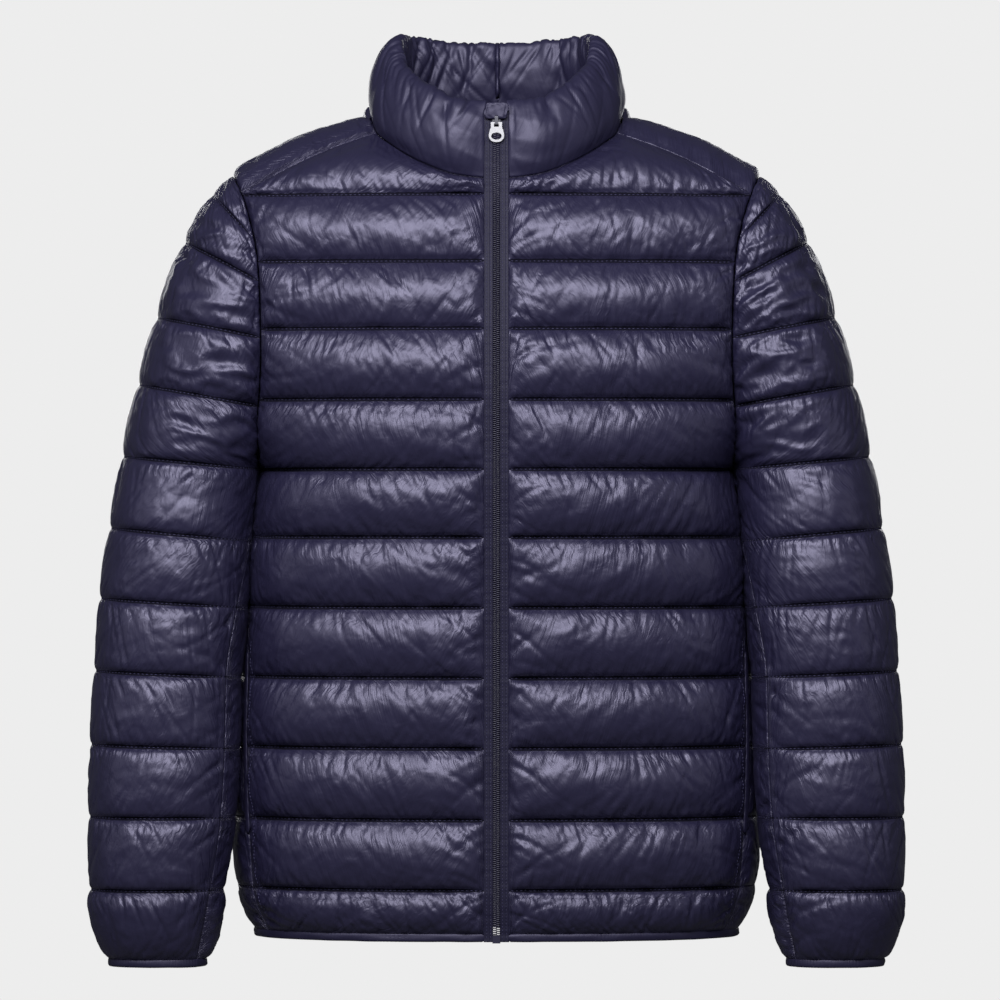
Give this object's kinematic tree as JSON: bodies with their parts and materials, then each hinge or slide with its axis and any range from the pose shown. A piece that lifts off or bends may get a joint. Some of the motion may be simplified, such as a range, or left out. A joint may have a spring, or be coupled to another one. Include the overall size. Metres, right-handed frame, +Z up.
{
  "type": "puffer jacket",
  "caption": "Quilted down jacket, filled out and zipped up, with a stand collar, long sleeves, side pockets and bound hem and cuffs",
  "frame": {"origin": "middle of the neck opening at the height of the shoulders, where the wearer's neck and shoulders hold the jacket", "axes": "+Z up, -Y the way the front faces, +X to the wearer's left"},
  "size_m": [0.695, 0.2648, 0.7976],
  "materials": {
    "shell": "glossy downproof nylon, navy",
    "binding": "elastic binding, navy",
    "zip_tape": "woven zip tape, navy",
    "zip_coil": "moulded coil",
    "zip_metal": "grey plated metal",
    "pull_metal": "bright plated metal"
  },
  "bodies": {
    "jacket": {"front_left": "shell", "front_right": "shell", "back": "shell", "sleeve_left": "shell", "sleeve_right": "shell", "collar": "shell", "hem_binding": "binding", "cuff_binding_left": "binding", "cuff_binding_right": "binding", "zip_tape_left": "zip_tape", "zip_tape_right": "zip_tape", "zip_chain": "zip_coil", "zip_box": "zip_coil", "zip_guard": "shell", "zip_slider": "zip_metal", "zip_bail": "zip_metal", "pocket_welt_left": "binding", "pocket_welt_right": "binding"},
    "pull_tab": {"zip_pull": "pull_metal"}
  },
  "joints": [
    {"name": "pull_hinge", "type": "hinge", "parent": "jacket", "child": "pull_tab", "pos_m": [0, -0.08466, -0.00758], "axis": [-1, 0, 0], "range_deg": [0, 120]}
  ]
}
